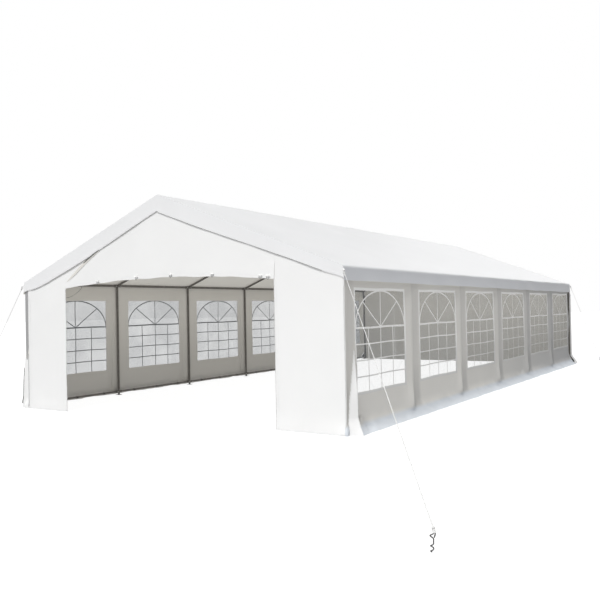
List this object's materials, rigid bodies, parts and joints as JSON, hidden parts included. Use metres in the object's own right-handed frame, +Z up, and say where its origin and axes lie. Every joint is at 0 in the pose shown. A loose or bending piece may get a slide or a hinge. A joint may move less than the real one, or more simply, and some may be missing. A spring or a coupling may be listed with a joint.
{
  "type": "marquee tent",
  "caption": "White marquee tent on a steel tube frame, with an open front, closed rear, windowed side walls and guy ropes to corkscrew stakes.",
  "frame": {"origin": "middle of the tent's plan at ground level", "axes": "+Y along the ridge from the open front to the closed rear, +X to the right as seen from the front, +Z up"},
  "size_m": [11.093, 18.9014, 3.2355],
  "materials": {
    "frame_steel": "dark powder coat on steel tube, satin",
    "cover_fabric": "white coated polyethylene tarpaulin, soft sheen",
    "wall_fabric": "white coated polyethylene tarpaulin, lightly creased",
    "window_plastic": "clear flexible sheet with printed white bars",
    "guy_rope": "white braided cord",
    "stake_steel": "dark steel rod, slightly glossy"
  },
  "bodies": {
    "root": {"front_gable_panel": "wall_fabric", "front_left_guy_rope": "guy_rope", "front_left_panel": "wall_fabric", "front_left_stake": "stake_steel", "front_right_guy_rope": "guy_rope", "front_right_panel": "wall_fabric", "front_right_stake": "stake_steel", "left_eave_pole": "frame_steel", "left_ground_rail": "frame_steel", "left_post_1": "frame_steel", "left_post_2": "frame_steel", "left_post_3": "frame_steel", "left_post_4": "frame_steel", "left_post_5": "frame_steel", "left_post_6": "frame_steel", "left_post_7": "frame_steel", "left_purlin": "frame_steel", "left_side_wall": "wall_fabric", "left_window_1": "window_plastic", "left_window_2": "window_plastic", "left_window_3": "window_plastic", "left_window_4": "window_plastic", "left_window_5": "window_plastic", "left_window_6": "window_plastic", "rafter_pair_1": "frame_steel", "rafter_pair_2": "frame_steel", "rafter_pair_3": "frame_steel", "rafter_pair_4": "frame_steel", "rafter_pair_5": "frame_steel", "rafter_pair_6": "frame_steel", "rafter_pair_7": "frame_steel", "rear_door_panel": "wall_fabric", "rear_gable_panel": "wall_fabric", "rear_left_guy_rope": "guy_rope", "rear_left_panel": "wall_fabric", "rear_left_stake": "stake_steel", "rear_right_guy_rope": "guy_rope", "rear_right_panel": "wall_fabric", "rear_right_stake": "stake_steel", "ridge_pole": "frame_steel", "right_eave_pole": "frame_steel", "right_ground_rail": "frame_steel", "right_post_1": "frame_steel", "right_post_2": "frame_steel", "right_post_3": "frame_steel", "right_post_4": "frame_steel", "right_post_5": "frame_steel", "right_post_6": "frame_steel", "right_post_7": "frame_steel", "right_purlin": "frame_steel", "right_side_wall": "wall_fabric", "right_window_1": "window_plastic", "right_window_2": "window_plastic", "right_window_3": "window_plastic", "right_window_4": "window_plastic", "right_window_5": "window_plastic", "right_window_6": "window_plastic", "roof_cover": "cover_fabric"}
  },
  "joints": []
}
